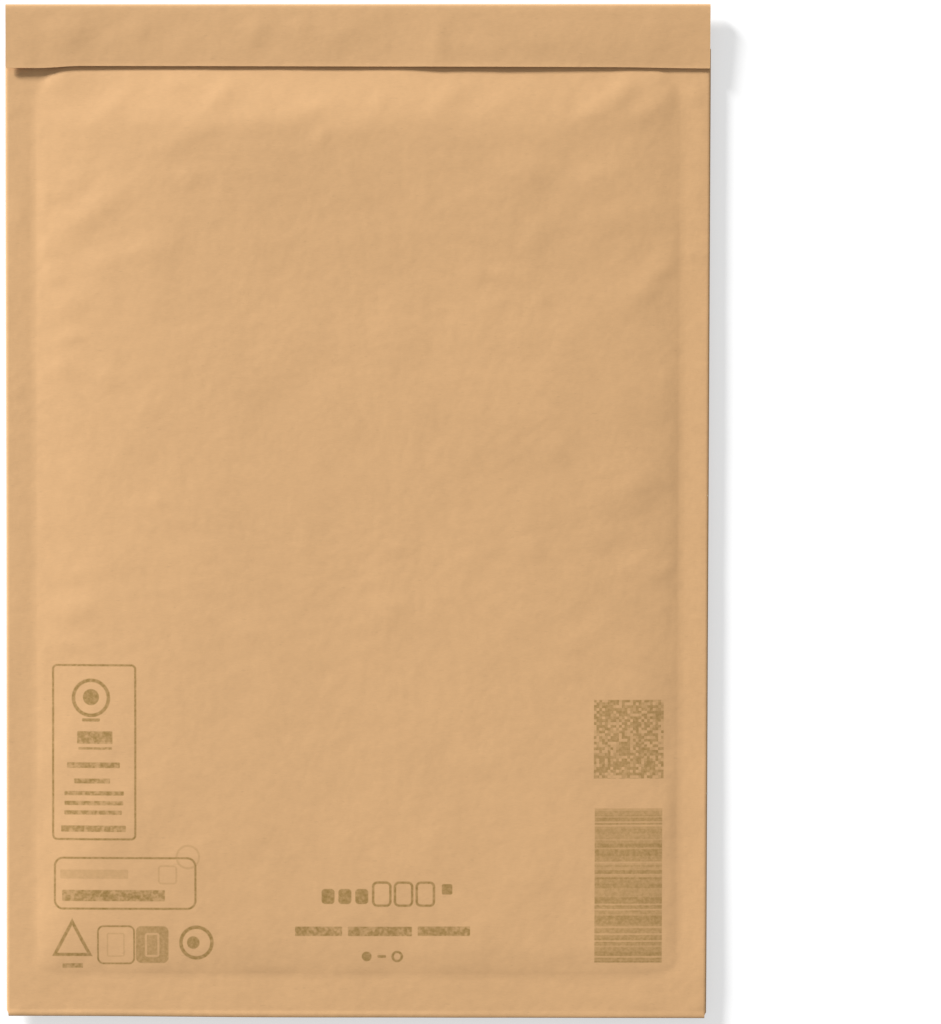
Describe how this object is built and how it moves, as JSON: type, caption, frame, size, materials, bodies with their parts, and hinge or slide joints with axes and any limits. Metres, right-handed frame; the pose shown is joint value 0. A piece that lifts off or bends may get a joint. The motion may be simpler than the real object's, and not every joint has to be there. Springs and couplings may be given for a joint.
{
  "type": "padded envelope",
  "caption": "Flat kraft-paper mailing envelope with a padded field inside flat glued margins, and its closing flap folded down over the front.",
  "frame": {"origin": "centre of the envelope's outline, on the surface that its back lies on", "axes": "+Z out of the front, away from the surface; +Y towards the flap's fold; +X to the right of someone who looks at the front with the flap at the top"},
  "size_m": [0.2, 0.288, 0.0066],
  "materials": {
    "kraft_paper": "matt machine-glazed kraft paper, light brown",
    "cushion_paper": "soft crimped recycled paper wadding, brown",
    "release_paper": "smooth silicone-coated peel-off paper, off-white"
  },
  "bodies": {
    "root": {"outer_sheet": "kraft_paper", "front_pad": "cushion_paper", "back_pad": "cushion_paper", "release_liner": "release_paper"}
  },
  "joints": []
}
